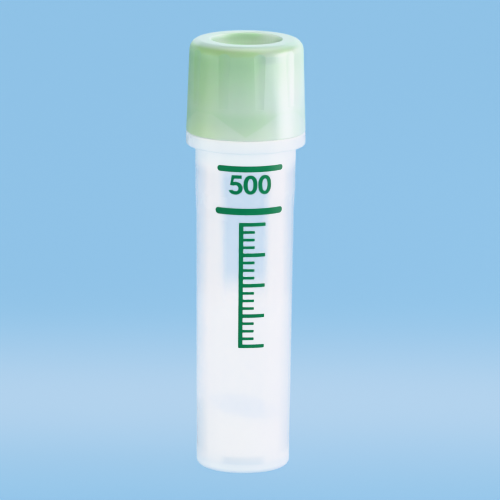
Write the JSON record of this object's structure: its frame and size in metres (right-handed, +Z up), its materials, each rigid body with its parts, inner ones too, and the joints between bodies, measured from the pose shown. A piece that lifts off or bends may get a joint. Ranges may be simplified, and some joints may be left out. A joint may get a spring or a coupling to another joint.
{
  "type": "blood collection tube",
  "caption": "Small capped sample tube: translucent flat-based tube with a collar, a green lift-off cap with a central well, and a plug of separating gel inside.",
  "frame": {"origin": "centre of the flat base that the tube stands on", "axes": "+Z up along the tube's axis, towards the cap; the printed side faces -Y"},
  "size_m": [0.0128, 0.0128, 0.047],
  "materials": {
    "tube_pp": "satin",
    "cap_pe": "satin",
    "gel": "gloss"
  },
  "bodies": {
    "tube_body": {"tube": "tube_pp", "gel": "gel"},
    "cap_body": {"cap": "cap_pe"}
  },
  "joints": [
    {"name": "cap_lift", "type": "slide", "parent": "tube_body", "child": "cap_body", "axis": [0, 0, 1], "range_m": [0, 0.0095]}
  ]
}
